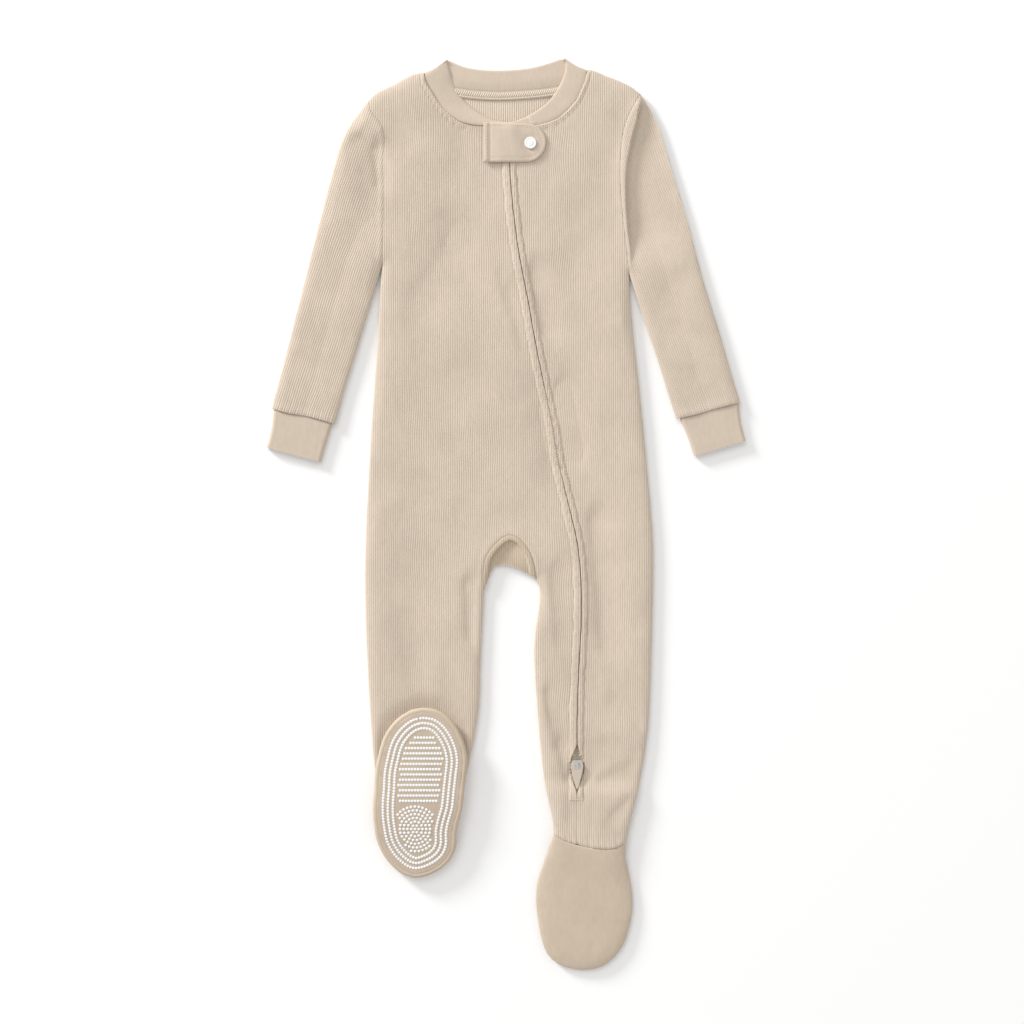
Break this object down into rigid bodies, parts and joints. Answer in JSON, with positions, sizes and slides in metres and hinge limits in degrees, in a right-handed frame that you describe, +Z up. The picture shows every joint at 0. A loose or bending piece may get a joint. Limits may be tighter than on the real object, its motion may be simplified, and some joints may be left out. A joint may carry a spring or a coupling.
{
  "type": "footed baby sleepsuit",
  "caption": "Footed long-sleeved baby sleepsuit in fine rib knit, laid flat on its back, with a slanting front zip, a snap flap at the neck and one foot folded up over the shin.",
  "frame": {"origin": "on the surface that the sleepsuit lies on, under the middle of its bounding box", "axes": "+Z up from the surface, +Y towards the neck, +X towards the wearer's left arm"},
  "size_m": [0.3838, 0.7298, 0.0123],
  "materials": {
    "rib_knit": "matte rib knit",
    "jersey": "matte smooth jersey",
    "sole_jersey": "matte jersey with a grip print",
    "zip_tape": "woven zip tape",
    "steel": "satin",
    "painted_metal": "satin paint",
    "white_plastic": "gloss"
  },
  "bodies": {
    "garment": {"front_right": "rib_knit", "front_left": "rib_knit", "back": "rib_knit", "sleeve_right": "rib_knit", "sleeve_left": "rib_knit", "cuff_right": "jersey", "cuff_left": "jersey", "neckband": "jersey", "neck_tape": "jersey", "zip_tape": "zip_tape", "zip_slider": "steel", "zip_flap": "jersey", "snap_cap": "white_plastic", "foot_right": "jersey", "foot_left": "jersey", "sole_right": "sole_jersey", "sole_left": "sole_jersey"},
    "pull": {"zip_pull": "painted_metal"}
  },
  "joints": [
    {"name": "pull_hinge", "type": "hinge", "parent": "garment", "child": "pull", "pos_m": [0.05685, -0.20005, 0.00684], "axis": [-1, 0, 0], "range_deg": [0, 150]}
  ]
}
